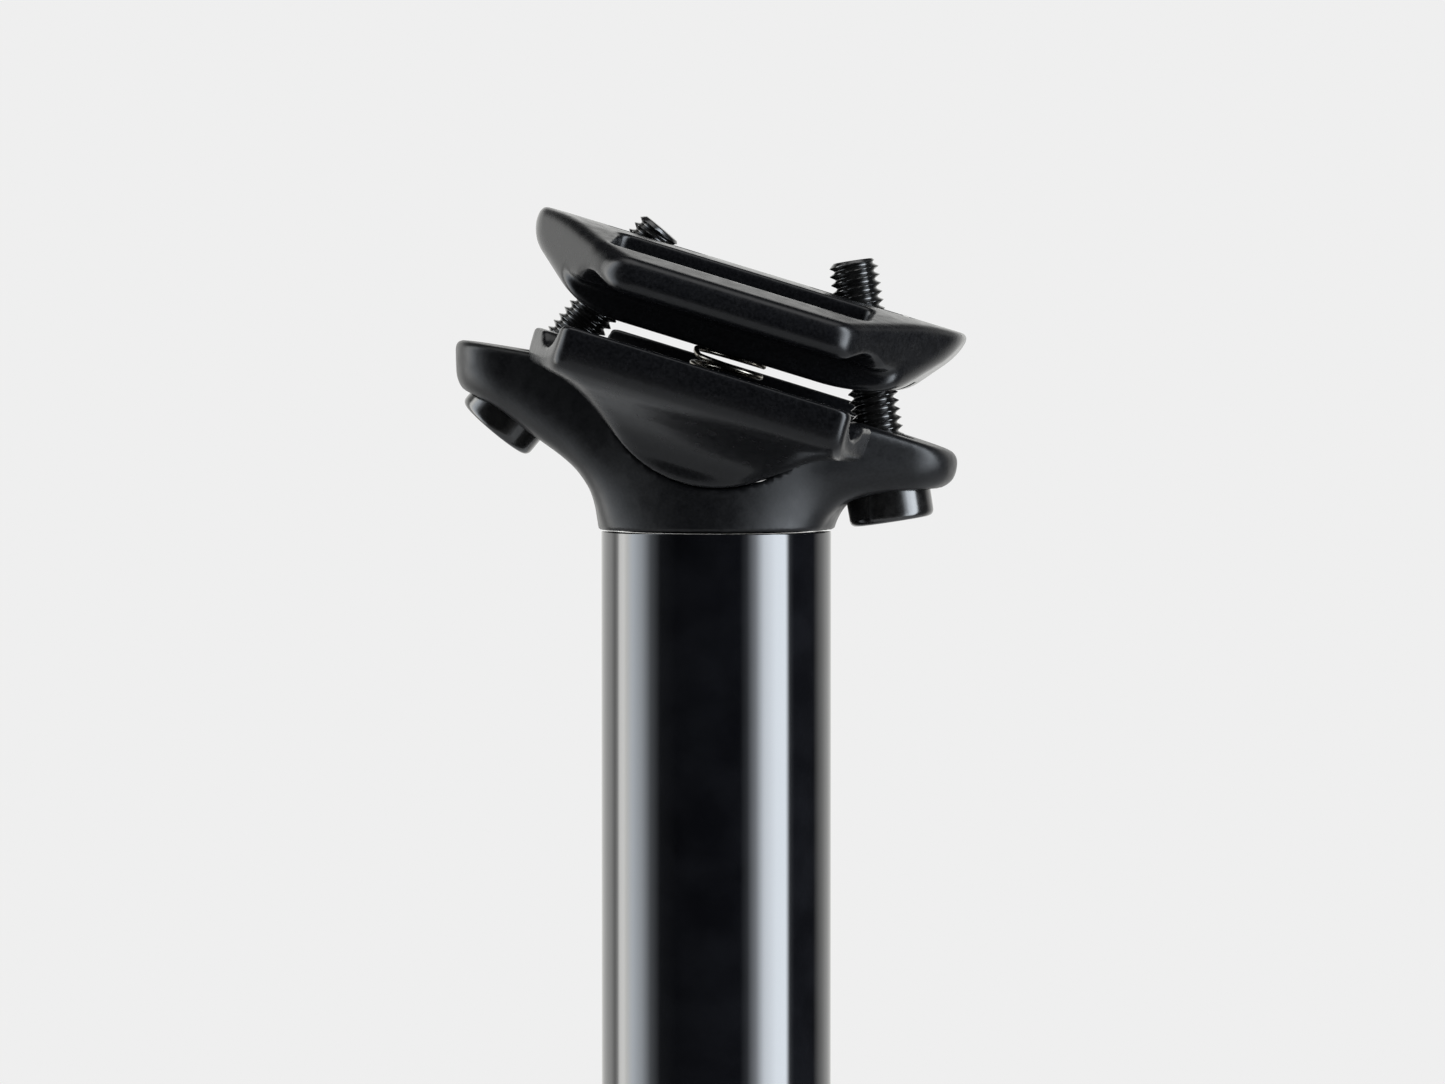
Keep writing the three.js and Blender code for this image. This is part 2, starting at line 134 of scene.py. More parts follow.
def outline(points, x, y):
    """The signed distance from a closed polygon, negative inside."""
    best = None
    inside = None
    for (ax, ay), (bx, by) in zip(points, points[1:] + points[:1]):
        ex, ey = bx - ax, by - ay
        wx, wy = x - ax, y - ay
        t = np.clip((wx * ex + wy * ey) / max(ex * ex + ey * ey, 1e-12), 0, 1)
        gap = (wx - ex * t) ** 2 + (wy - ey * t) ** 2
        best = gap if best is None else np.minimum(best, gap)
        crosses = ((ay > y) != (by > y)) & (x < (bx - ax) * (y - ay) / (by - ay if by != ay else 1e-12) + ax)
        inside = crosses if inside is None else inside ^ crosses
    return np.where(inside, -1, 1) * np.sqrt(best)


def tapered(x, y, x0, r0, x1, r1):
    """The belt round two circles whose centres lie on the x axis."""
    span = abs(x1 - x0)
    slope = (r0 - r1) / span
    flat = math.sqrt(1 - slope * slope)
    across = np.abs(y)
    along = (x - x0) * (1 if x1 > x0 else -1)
    place = along * flat - across * slope
    straight = across * flat + along * slope - r0
    start = np.hypot(across, along) - r0
    finish = np.hypot(across, along - span) - r1
    return np.where(place < 0, start, np.where(place > flat * span, finish, straight))


def block(x, y, z, half, rounding=0.0):
    """A box about the origin, with rounded edges."""
    qx, qy, qz = (np.abs(c) - h + rounding for c, h in zip((x, y, z), half))
    outside = np.sqrt(np.maximum(qx, 0) ** 2 + np.maximum(qy, 0) ** 2 + np.maximum(qz, 0) ** 2)
    return outside + np.minimum(np.maximum(np.maximum(qx, qy), qz), 0) - rounding


def hexagon(x, y, across_flats):
    half = across_flats / 2
    turned = [np.abs(x * math.cos(a) + y * math.sin(a)) for a in (0, math.pi / 3, 2 * math.pi / 3)]
    return np.maximum(np.maximum(turned[0], turned[1]), turned[2]) - half


def in_bolt_frame(end, x, y, z, centre):
    """Coordinates along a bolt, for points given about the tilt centre and square to the rails."""
    lean = BOLTS[end]["lean"] - math.atan2(RAIL_UP.x, RAIL_UP.z)
    sin, cos = math.sin(lean), math.cos(lean)
    dx, dz = x - centre.x, z - centre.z
    return dx * cos - dz * sin, y - centre.y, dx * sin + dz * cos


# ---------------------------------------------------------------- meshes

def new_object(name, points, faces, to_row=None):
    """Points in millimetres as an object in metres in the row frame."""
    mesh = bpy.data.meshes.new(name)
    mesh.from_pydata([tuple(p) for p in points], [], [tuple(f) for f in faces])
    if to_row is not None:
        mesh.transform(to_row)
    mesh.transform(Matrix.Scale(MM, 4))
    mesh.update()
    mesh.shade_smooth()
    piece = bpy.data.objects.new(name, mesh)
    bpy.context.scene.collection.objects.link(piece)
    return piece


EDGES = [(a, a | bit) for bit in (1, 2, 4) for a in range(8) if not a & bit]


def surface(name, field, low, high, step, to_row=None):
    """The field's zero surface as quads: surface nets, then each point slides onto the surface."""
    axes = [np.arange(lo, hi + step, step) for lo, hi in zip(low, high)]
    values = field(axes[0][:, None, None], axes[1][None, :, None], axes[2][None, None, :])
    values = np.broadcast_to(values, [len(a) for a in axes])
    inside = values < 0
    slices = [(slice(0, -1), slice(1, None))[bit] for bit in (0, 1)]
    corner = [tuple(slices[(k >> axis) & 1] for axis in range(3)) for k in range(8)]
    count = sum(inside[c].astype(np.int8) for c in corner)
    cells = np.argwhere((count > 0) & (count < 8))
    number = np.full(count.shape, -1)
    number[tuple(cells.T)] = np.arange(len(cells))
    offsets = np.array([[(k >> axis) & 1 for axis in range(3)] for k in range(8)])
    at = [values[tuple((cells + offsets[k]).T)] for k in range(8)]
    total = np.zeros((len(cells), 3))
    hits = np.zeros(len(cells))
    for a, b in EDGES:
        crossed = (at[a] < 0) != (at[b] < 0)
        t = np.where(crossed, at[a] / np.where(crossed, at[a] - at[b], 1), 0)
        total += (offsets[a] + t[:, None] * (offsets[b] - offsets[a])) * crossed[:, None]
        hits += crossed
    points = np.array(low) + (cells + total / hits[:, None]) * step
    for _ in range(4):
        points = slide_onto(field, points, step)
    quads = []
    for axis in range(3):
        one, two = (axis + 1) % 3, (axis + 2) % 3
        first = [slice(None)] * 3
        second = [slice(None)] * 3
        first[axis] = slice(0, -1)
        second[axis] = slice(1, None)
        flips = inside[tuple(first)] != inside[tuple(second)]
        edges = np.argwhere(flips)
        edges = edges[(edges[:, one] > 0) & (edges[:, two] > 0)]
        edges = edges[(edges[:, one] < count.shape[one]) & (edges[:, two] < count.shape[two])]
        around = []
        for d1, d2 in ((1, 1), (0, 1), (0, 0), (1, 0)):
            cell = edges.copy()
            cell[:, one] -= d1
            cell[:, two] -= d2
            around.append(number[tuple(cell.T)])
        quad = np.stack(around, 1)
        leaving = inside[tuple(edges.T)]
        quad[~leaving] = quad[~leaving][:, ::-1]
        quads.append(quad)
    return new_object(name, points, np.vstack(quads), to_row)


def slide_onto(field, points, step):
    nudge = step * 0.05
    here = field(*points.T)
    slope = np.empty_like(points)
    for axis in range(3):
        ahead = points.copy()
        behind = points.copy()
        ahead[:, axis] += nudge
        behind[:, axis] -= nudge
        slope[:, axis] = (field(*ahead.T) - field(*behind.T)) / (2 * nudge)
    steep = np.maximum((slope ** 2).sum(1), 0.05)
    move = -(here / steep)[:, None] * slope
    length = np.maximum(np.linalg.norm(move, axis=1, keepdims=True), 1e-9)
    return points + move * np.minimum(1, 0.5 * step / length)


def turned(name, profile, sides=128, to_row=None):
    """A closed [radius, height] profile turned about Z."""
    angles = 2 * math.pi * np.arange(sides) / sides
    ring = np.stack([np.cos(angles), np.sin(angles)], 1)
    points = [(r * x, r * y, z) for r, z in profile for x, y in ring]
    count = len(profile)
    faces = []
    for i in range(count):
        for j in range(sides):
            a, b = i * sides + j, i * sides + (j + 1) % sides
            c, d = ((i + 1) % count) * sides + (j + 1) % sides, ((i + 1) % count) * sides + j
            faces.append((a, b, c, d))
    piece = new_object(name, points, faces, to_row)
    sharpen(piece)
    return piece


def sharpen(piece, degrees=35):
    """Smooth shading that stops at edges sharper than this."""
    piece.data.set_sharp_from_angle(angle=math.radians(degrees))


def softened(profile, size, steps=3):
    """A closed profile whose corners are rounded, no further than size along each side."""
    p = np.array(profile, float)
    out = []
    for before, here, after in zip(np.roll(p, 1, 0), p, np.roll(p, -1, 0)):
        back = min(size, np.linalg.norm(before - here) * 0.45)
        on = min(size, np.linalg.norm(after - here) * 0.45)
        start = here + (before - here) / np.linalg.norm(before - here) * back
        finish = here + (after - here) / np.linalg.norm(after - here) * on
        for t in np.linspace(0, 1, steps + 1):
            out.append(tuple((1 - t) ** 2 * start + 2 * t * (1 - t) * here + t * t * finish))
    return out


def swept(name, path, radius, sides=12, to_row=None):
    """A round wire along a path of points, closed by a rounded cap at each end."""
    path = np.array(path)
    along = np.gradient(path, axis=0)
    along /= np.linalg.norm(along, axis=1, keepdims=True)
    up = np.array([0, 0, 1.0])
    points = []
    for i, (place, way) in enumerate(zip(path, along)):
        side = np.cross(way, up)
        side /= np.linalg.norm(side)
        top = np.cross(side, way)
        for j in range(sides):
            a = 2 * math.pi * j / sides
            points.append(place + radius * (math.cos(a) * side + math.sin(a) * top))
    faces = []
    for i in range(len(path) - 1):
        for j in range(sides):
            a, b = i * sides + j, i * sides + (j + 1) % sides
            faces.append((a, a + sides, b + sides, b))
    for row, way, order in ((0, -along[0], 1), (len(path) - 1, along[-1], -1)):
        tip = len(points)
        points.append(path[row] + way * radius * 0.6)
        for j in range(sides):
            a, b = row * sides + j, row * sides + (j + 1) % sides
            faces.append((tip, a, b)[::order])
    return new_object(name, points, faces, to_row)


# ---------------------------------------------------------------- materials

class Finish:
    """A principled material whose colour, roughness and bump come from noise."""

    def __init__(self, name, roughness, metallic=0.0, ior=1.5):
        self.material = bpy.data.materials.new(name)
        self.material.use_nodes = True
        self.tree = self.material.node_tree
        self.shader = self.tree.nodes["Principled BSDF"]
        self.shader.inputs["Metallic"].default_value = metallic
        self.shader.inputs["Roughness"].default_value = roughness
        self.shader.inputs["IOR"].default_value = ior
        self.place = self.tree.nodes.new("ShaderNodeTexCoord").outputs["Object"]
        self.height = None

    def link(self, a, b):
        self.tree.links.new(a, b)

    def noise(self, size_mm, detail=3.0, stretch=(1, 1, 1)):
        """Noise whose blobs are about size_mm across, longer along each axis by stretch."""
        mapping = self.tree.nodes.new("ShaderNodeMapping")
        mapping.inputs["Scale"].default_value = [1 / s for s in stretch]
        self.link(self.place, mapping.inputs["Vector"])
        noise = self.tree.nodes.new("ShaderNodeTexNoise")
        noise.inputs["Scale"].default_value = 1 / (size_mm * MM)
        noise.inputs["Detail"].default_value = detail
        self.link(mapping.outputs["Vector"], noise.inputs["Vector"])
        return noise.outputs["Fac"]

    def spread(self, value, low, high, start=0.3, end=0.7):
        node = self.tree.nodes.new("ShaderNodeMapRange")
        node.inputs["From Min"].default_value = start
        node.inputs["From Max"].default_value = end
        node.inputs["To Min"].default_value = low
        node.inputs["To Max"].default_value = high
        self.link(value, node.inputs["Value"])
        return node.outputs["Result"]

    def colour(self, value, dark, light, start=0.35, end=0.65):
        ramp = self.tree.nodes.new("ShaderNodeValToRGB")
        ramp.color_ramp.elements[0].position = start
        ramp.color_ramp.elements[0].color = (*dark, 1)
        ramp.color_ramp.elements[1].position = end
        ramp.color_ramp.elements[1].color = (*light, 1)
        self.link(value, ramp.inputs["Fac"])
        self.link(ramp.outputs["Color"], self.shader.inputs["Base Color"])

    def rough(self, value, low, high):
        self.link(self.spread(value, low, high), self.shader.inputs["Roughness"])

    def bump(self, value, depth_mm):
        node = self.tree.nodes.new("ShaderNodeBump")
        node.inputs["Distance"].default_value = depth_mm * MM
        self.link(value, node.inputs["Height"])
        if self.height is not None:
            self.link(self.height, node.inputs["Normal"])
        self.height = node.outputs["Normal"]
        self.link(self.height, self.shader.inputs["Normal"])


def gloss_black():
    finish = Finish("gloss_black_anodise", 0.06, ior=1.72)
    finish.colour(finish.noise(6), (0.002, 0.0021, 0.0028), (0.004, 0.0042, 0.0052))
    finish.rough(finish.noise(9, stretch=(1, 1, 8)), 0.045, 0.085)
    finish.bump(finish.noise(0.5, stretch=(1, 1, 30)), 0.0004)
    return finish.material


def satin_black():
    finish = Finish("satin_black_anodise", 0.3, ior=1.6)
    finish.colour(finish.noise(4), (0.006, 0.0062, 0.007), (0.012, 0.0122, 0.0135))
    finish.rough(finish.noise(3), 0.26, 0.36)
    finish.bump(finish.noise(0.18, 2), 0.004)
    return finish.material


def forged_black(name, ior, smooth, rough, grain):
    """Anodised over a forged skin that is slightly uneven, with a fine grain."""
    finish = Finish(name, smooth, ior=ior)
    finish.colour(finish.noise(0.35, 4), (0.002, 0.0021, 0.0025), (0.005, 0.0051, 0.0058))
    finish.rough(finish.noise(1.4, 5), smooth, rough)
    finish.bump(finish.noise(5, 2), 0.012)
    finish.bump(finish.noise(0.25, 3), grain)
    return finish.material


def black_steel():
    finish = Finish("black_oxide_steel", 0.16, metallic=0.2, ior=1.75)
    finish.colour(finish.noise(0.9, 4), (0.005, 0.0048, 0.0047), (0.012, 0.0117, 0.0113))
    finish.rough(finish.noise(1.2), 0.12, 0.2)
    finish.bump(finish.noise(0.4), 0.0015)
    return finish.material


def bare_steel(name, dark, light):
    finish = Finish(name, 0.25, metallic=1.0)
    finish.colour(finish.noise(0.8), dark, light)
    finish.rough(finish.noise(0.6), 0.16, 0.32)
    finish.bump(finish.noise(0.25, stretch=(1, 1, 4)), 0.002)
    return finish.material


def turned_alloy():
    finish = Finish("turned_alloy", 0.35, metallic=1.0)
    finish.colour(finish.noise(3), (0.52, 0.53, 0.55), (0.66, 0.67, 0.69))
    finish.rough(finish.noise(0.6, stretch=(6, 6, 1)), 0.28, 0.44)
    finish.bump(finish.noise(0.2, stretch=(40, 40, 1)), 0.003)
    return finish.material


def polymer():
    finish = Finish("bush_polymer", 0.5)
    finish.colour(finish.noise(1.5), (0.58, 0.54, 0.44), (0.7, 0.66, 0.55))
    finish.rough(finish.noise(2), 0.42, 0.58)
    return finish.material


def rubber():
    finish = Finish("seal_rubber", 0.7, ior=1.45)
    finish.colour(finish.noise(2), (0.009, 0.009, 0.009), (0.018, 0.018, 0.018))
    finish.rough(finish.noise(1), 0.6, 0.8)
    finish.bump(finish.noise(0.15), 0.006)
    return finish.material


def elastomer():
    finish = Finish("amber_elastomer", 0.55)
    finish.colour(finish.noise(4), (0.42, 0.25, 0.06), (0.55, 0.34, 0.09))
    finish.rough(finish.noise(1), 0.48, 0.66)
    finish.bump(finish.noise(0.5), 0.01)
    return finish.material


GLOSS = gloss_black()
SATIN = satin_black()
BLASTED = forged_black("forged_black_blasted", 1.35, 0.32, 0.42, 0.005)
FORGED = forged_black("forged_black", 1.38, 0.2, 0.29, 0.003)
OXIDE = black_steel()
SPRING_WIRE = bare_steel("spring_steel", (0.36, 0.37, 0.38), (0.5, 0.51, 0.52))
CLAMP_WIRE = bare_steel("clamp_spring_steel", (0.22, 0.2, 0.17), (0.42, 0.39, 0.34))
ALLOY = turned_alloy()
POLYMER = polymer()
RUBBER = rubber()
ELASTOMER = elastomer()


def finish_piece(piece, material, slot, body, *nodes):
    """Dresses a new piece, sets it on its body and hides the CAD nodes that it stands for."""
    piece.data.materials.clear()
    piece.data.materials.append(material)
    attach(piece, body)
    if nodes:
        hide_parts(*nodes)
    return piece


# ---------------------------------------------------------------- post: tube, collar and seal

def make_outer_tube():
    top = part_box("outer_tube")[1].z / MM
    profile = softened([(14.4, 0), (15.8, 0), (15.8, top), (14.4, top)], 0.4)
    piece = turned("outer_tube_skin", profile)
    finish_piece(piece, SATIN, "satin_black_anodise", "post", "outer_tube")


def make_collar():
    low, high = (corner.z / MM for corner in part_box("collar_nut"))
    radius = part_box("collar_nut")[1].x / MM
    thread, shoulder, mouth = 15.95, 254, 14.9
    sector, notch_half, notch_depth = math.pi / 3, 1.6, 0.9

    def field(x, y, z):
        r = np.hypot(x, y)
        body = smax(smax(r - radius, low - z, 1.2), z - high, 1.6)
        body = cut(body, np.maximum(r - thread, z - shoulder), 0.3)
        body = cut(body, r - mouth, 0.4)
        angle = np.arctan2(y, x)
        local = angle - sector * np.round(angle / sector)
        notch = np.maximum(np.abs(r * np.sin(local)) - notch_half, radius - notch_depth - r)
        notch = np.maximum(notch, np.abs(z - (low + high - 1) / 2) - (high - low - 9) / 2)
        body = cut(body, notch, 0.5)
        ring_groove = np.abs(z - (high - 3.2)) - 0.25
        return cut(body, np.maximum(ring_groove, radius - 0.3 - r), 0.15)

    reach = radius + 1
    piece = surface("collar", field, (-reach, -reach, low - 1), (reach, reach, high + 1), 0.4)
    finish_piece(piece, SATIN, "satin_black_anodise", "post", "collar_nut")


def make_wiper():
    low, high = (corner.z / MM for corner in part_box("wiper_seal"))
    lip = high - 3.8
    bore, rim = 13.72, 15.6
    outside = [(rim, low), (rim, lip), (14.65, lip + 0.2), (14.5, high - 0.9), (13.95, high)]
    profile = [(bore, low), *outside, (bore, high)]
    piece = turned("wiper_lip", softened(profile, 0.25))
    finish_piece(piece, RUBBER, "rubber", "post", "wiper_seal")


# ---------------------------------------------------------------- shaft and forged head

def make_shaft():
    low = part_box("stanchion_tube")[0].z / MM
    high = SEAM_LINE - HALF_SEAM
    profile = [(SHAFT_BORE, low), (SHAFT_RADIUS, low), (SHAFT_RADIUS, high), (SHAFT_BORE, high)]
    piece = turned("shaft", softened(profile, 0.12), 192)
    finish_piece(piece, GLOSS, "gloss_black_anodise", "stanchion", "stanchion_tube")


HEAD_UNDERSIDE = [
    (-32.2, 40), (-32.3, 23), (-32.2, 20.1), (-31.8, 18), (-30.2, 16.4), (-26, 14.8), (-21, 11.5),
    (-17.2, 8.8),
    (-14.8, 6.4), (-13.2, 4.2), (-12.1, 1.9), (-11, 0), (-10.5, -4),
    (10.5, -4), (10.8, 0), (12, 1.5), (13.8, 2.9), (15.9, 3.9), (18.4, 4.5), (21.9, 4.7), (25.4, 5.1),
    (28.2, 5.6), (29.5, 7), (29.9, 9), (29.9, 12), (29.9, 40),
]
HEAD_TOP = [(-60, 28), (-30, 22.9), (-22.2, 21.6), (-14, 20.2), (14.2, 13.1), (17.5, 13.1), (60, -0.4)]


def head_field(x, y, z):
    z = z - SEAM
    under = outline(HEAD_SIDE, x, z)
    top = outline(HEAD_BELOW_TOP, x, z)
    plan = smin(tapered(x, y, 0, SHAFT_RADIUS, -23, 9), tapered(x, y, 0, SHAFT_RADIUS, 21.4, 8.2), 3)
    front_view = (np.abs(y) - 9 - 0.511 * z) * 0.89
    arms = smax(smax(plan, under, 5), front_view, 4)
    neck = smax(np.hypot(x, y) - SHAFT_RADIUS, z - 11, 3)
    body = smin(arms, neck, 4)
    body = smax(body, top, 1.3)
    body = smax(body, SEAM_LINE - SEAM + HALF_SEAM - z, 0.2)
    dx, dz = x - TILT_CENTRE.x, z + SEAM - TILT_CENTRE.z
    body = cut(body, np.hypot(dx, dz) - BELLY - TROUGH_GAP, 0.3)
    body = cut(body, np.maximum(np.hypot(x, y) - 7.5, z - 2), 0.3)
    for end in BOLTS:
        body = cut(body, bolt_room(end, x, y, z + SEAM), 0.5)
    return body


def bolt_room(end, x, y, z):
    """The hole through an arm: a counterbore with a rounded seat for the washer, and a clear hole."""
    seat, lean = BOLTS[end]["seat"], BOLTS[end]["lean"]
    dx, dz = x - seat.x, z - seat.z
    across = dx * math.cos(lean) - dz * math.sin(lean)
    along = dx * math.sin(lean) + dz * math.cos(lean)
    radius = np.hypot(across, y)
    counterbore = np.maximum(radius - 5.8, np.where(along > 0, np.hypot(across, along) - 8.3, -10))
    hole = np.maximum(radius - 3.8, -along)
    return np.minimum(counterbore, hole)


HEAD_SIDE = [HEAD_UNDERSIDE[0]] + smooth_line(HEAD_UNDERSIDE[1:-1]) + [HEAD_UNDERSIDE[-1]]
HEAD_BELOW_TOP = HEAD_TOP + [(60, -60), (-60, -60)]


def make_head():
    piece = surface("head_forging", head_field, (-34, -15, SEAM - 1), (32, 15, SEAM + 25), 0.38)
    finish_piece(piece, BLASTED, "forged_black", "stanchion", "seat_head")


# ---------------------------------------------------------------- cradles, drawn about the tilt centre

RAIL_HALF = 22.0  # each rail is this far from the middle
GROOVE = 3.6  # its radius
CRADLE_HALF = 27.2  # both cradles end this far from the middle
BELLY_HALF = 15
WING_UNDERSIDE = -6.1
FLOOR = -1.95
LIP = -0.5
UPPER_FLOOR = 1.44
CROWN = 11.57

# The hollow from the belly's end out to a wing's edge, as [across, square to the rails].
LOWER_UNDER = smooth_line([
    (15.4, -30), (15.4, -20), (15.5, -13.6), (16, -11.9), (17.3, -10.2), (19.6, -8.6), (22.2, -7.3),
    (24.6, -6.2), (26.4, -5), (27.4, -3.6), (28.6, -1.2),
]) + [(40, 6), (14, 6)]


def lower_field(u, v, w):
    """Each flat face is a plane: the way from a point on it, along its unit normal."""
    across = np.abs(v)
    under = smax(outline(LOWER_UNDER, across, w), across - CRADLE_HALF, 1.2)
    skirt = smin(np.hypot(u, w) - BELLY, WING_UNDERSIDE - w, 6)
    body = smax(under, skirt, 1.5)
    rear_end = (-u - 16.7) * 0.932 + (across - CRADLE_HALF) * 0.362
    front_end = (u - 16.9) * 0.979 + (across - CRADLE_HALF) * 0.202
    body = smax(body, np.maximum(rear_end, front_end), 1.3)
    belly = smax(np.hypot(u, w) - BELLY, across - BELLY_HALF, 1.2)
    body = smin(body, belly, 1)
    body = smax(body, w - LIP, 0.7)
    body = cut(body, np.hypot(across - RAIL_HALF, w - 0.1) - GROOVE, 0.5)
    body = cut(body, np.maximum(across - 19.3, FLOOR - w), 0.6)
    body = cut(body, np.maximum(np.hypot(u, v) - 5.2, FLOOR - 1.5 - w), 0.3)
    for end in BOLTS:
        x, y, _ = in_bolt_frame(end, u, v, w, cradle_point(BOLTS[end]["nut"]))
        body = cut(body, np.hypot(x, y) - 4.7, 0.5)
    return body


def make_lower_cradle():
    low, high = (-22.5, -28, -15.5), (22.5, 28, 0.6)
    piece = surface("rail_cradle_lower", lower_field, low, high, 0.36, CRADLE_TO_ROW)
    finish_piece(piece, FORGED, "forged_black", "lower_clamp", "lower_cradle")


def upper_field(u, v, w):
    """Built from planes, as the lower cradle is."""
    across, along = np.abs(v), np.abs(u)
    slope = (across - 11) * 0.179 + (w - CROWN) * 0.984
    crown = smax(slope, w - CROWN, 0.8)
    side = (across - CRADLE_HALF) * 0.958 + (w - 6.26) * 0.287
    chamfer = (across - CRADLE_HALF) * 0.783 - (w - 6.26) * 0.622
    rim = smax(smax(crown, side, 1.1), chamfer, 0.7)
    underside = smin(4.75 - w, smax(across - 17.1, UPPER_FLOOR - w, 0.8), 0.8)
    body = smax(rim, underside, 0.6)
    facet = (along - np.where(u < 0, 13.5, 14)) * 0.861 + (across - CRADLE_HALF) * 0.508
    body = smax(body, facet, 1.6 + np.where(u < 0, 1.2, 0) * np.clip((across - 21) / 4, 0, 1))
    front_nose = (u - 20.2) * 0.765 - (w - 2.6) * 0.644
    rear_nose = (-u - 20.5) * 0.544 - (w - 4.1) * 0.839
    chamfered = (along - 15.7) * 0.309 - (w - UPPER_FLOOR) * 0.951
    nose = smax(smax(np.maximum(front_nose, rear_nose), chamfered, 1), along - 26.3, 2.2)
    body = smax(body, nose, 1.2)
    body = cut(body, np.hypot(across - RAIL_HALF, w - 2.5) - GROOVE, 0.7)
    pocket = block(u, across - 16.5, w - 17.2, (15.3, 4.2, 10), 1.4)
    body = cut(body, pocket, 0.6)
    body = cut(body, np.maximum(np.hypot(u, v) - 5.6, w - 4.6), 0.3)
    for end in BOLTS:
        x, y, z = in_bolt_frame(end, u, v, w, cradle_point(BOLTS[end]["nut"]))
        trough = np.maximum(np.hypot(x, z) - 5.7, np.abs(y) - 7.6)
        trough = np.minimum(trough, block(x, y, z - 20, (5.7, 7.6, 20)))
        trough = np.minimum(trough, block(x, y, z + 20, (4.9, 3.6, 20), 1))
        body = cut(body, trough, 0.4)
    return body


def make_upper_cradle():
    low, high = (-27, -28.2, 0.5), (27, 28.2, 12.6)
    piece = surface("rail_cradle_upper", upper_field, low, high, 0.36, CRADLE_TO_ROW)
    finish_piece(piece, FORGED, "forged_black", "upper_clamp", "upper_cradle")


def make_clamp_spring():
    radius, wire = 4.1, 0.33
    bottom, top = -3.0, 4.1
    # Closed coils below and open ones above, with a steep step between them at the rear.
    turned_by = np.radians(np.linspace(-560, 720, 260))
    heights = np.interp(np.degrees(turned_by), (-560, -360, -180, 0, 15, 35, 180, 360, 540, 720),
                        (top, 2.9, 0.95, 0.75, 0.45, 0.05, -0.35, -1.0, -1.8, bottom))
    path = np.stack([-radius * np.cos(turned_by), -radius * np.sin(turned_by), heights], 1)
    piece = swept("clamp_spring", path, wire, 14, CRADLE_TO_ROW)
    finish_piece(piece, CLAMP_WIRE, "clamp_spring_steel", "lower_clamp", "cradle_spring")
    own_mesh(piece)


# ---------------------------------------------------------------- clamp bolts, washers and barrel nuts

PITCH = 1.0
BOLT_LENGTH = 25.0  # under the head
HEAD_HEIGHT = 6.0
BELOW_NUT = {"rear": 25.98, "front": 22.66}  # from a nut's centre down to the bottom of its bolt


def thread_radius(phase):
    """An ISO thread's shape over one turn: a narrow flat crest and a rounded root."""
    wave = np.abs(2 * (phase - np.floor(phase)) - 1)
    return 2.94 - 0.6 * np.clip((1 - wave - 0.1) / 0.72, 0, 1) ** 0.9


def make_thread(end, head_bottom):
    sides, rows_per_turn = 56, 14
    under = HEAD_HEIGHT - 0.2
    rows = int((BOLT_LENGTH + 0.2) / PITCH * rows_per_turn)
    heights = under + (BOLT_LENGTH + 0.2) * np.arange(rows + 1) / rows
    angles = 2 * math.pi * np.arange(sides) / sides
    z, a = np.meshgrid(heights, angles, indexing="ij")
    radius = thread_radius(z / PITCH - a / (2 * math.pi))
    radius = np.minimum(radius, 2.35 + np.maximum(heights[-1] - z, 0) * 0.9)
    points = np.stack([radius * np.cos(a), radius * np.sin(a), z], 2).reshape(-1, 3).tolist()
    faces = []
    for i in range(rows):
        for j in range(sides):
            one, two = i * sides + j, i * sides + (j + 1) % sides
            faces.append((one, two, two + sides, one + sides))
    tip, base = len(points), len(points) + 1
    points += [(0, 0, heights[-1] + 0.05), (0, 0, heights[0])]
    for j in range(sides):
        faces.append((rows * sides + j, rows * sides + (j + 1) % sides, tip))
        faces.append(((j + 1) % sides, j, base))
    piece = new_object(f"{end}_bolt_thread", points, faces, bolt_to_row(end, head_bottom))
    sharpen(piece, 50)
    return piece


def bolt_head_field(x, y, z):
    r = np.hypot(x, y)
    body = smax(smax(r - 5, -z, 0.9), z - HEAD_HEIGHT, 0.4)
    body = cut(body, np.maximum(hexagon(x, y, 5), z - 3), 0.25)
    dimple = (r - 3.2 + z * 1.2) * 0.64
    return cut(body, dimple, 0.2)


def make_bolt(end):
    bolt = BOLTS[end]
    head_bottom = bolt["nut"] - bolt["axis"] * BELOW_NUT[end]
    thread = make_thread(end, head_bottom)
    finish_piece(thread, OXIDE, "black_steel", f"{end}_screw")
    head = surface(f"{end}_bolt_head", bolt_head_field, (-5.6, -5.6, -0.6), (5.6, 5.6, 6.6), 0.24,
                   bolt_to_row(end, head_bottom))
    finish_piece(head, OXIDE, "black_steel", f"{end}_screw", f"{end}_bolt")


def nut_field(x, y, z):
    body = smax(smax(np.hypot(x, z) - 5.4, np.abs(y) - 7, 0.8), z - 1.2, 0.4)
    body = cut(body, np.hypot(x, y) - 3.65, 0.2)
    return cut(body, (np.hypot(x, y) - 4.2 + (1.2 - z)) * 0.7, 0.2)


def make_nut(end):
    piece = surface(f"{end}_barrel_nut", nut_field, (-6, -7.6, -6), (6, 7.6, 1.8), 0.3,
                    bolt_to_row(end, BOLTS[end]["nut"]))
    finish_piece(piece, OXIDE, "black_steel", f"{end}_nut_body", f"{end}_nut")


def washer_field(x, y, z):
    r = np.hypot(x, y)
    body = smax(np.hypot(x, z) - 8, 6.22 - z, 0.15)
    return cut(smax(body, r - 4.8, 0.2), r - 3.25, 0.15)


def make_washer(end):
    piece = surface(f"{end}_round_washer", washer_field, (-5.4, -5.4, 5.6), (5.4, 5.4, 8.6), 0.2,
                    bolt_to_row(end, BOLTS[end]["seat"]))
    finish_piece(piece, OXIDE, "black_steel", f"{end}_seat", f"{end}_washer")


# ---------------------------------------------------------------- inside the post

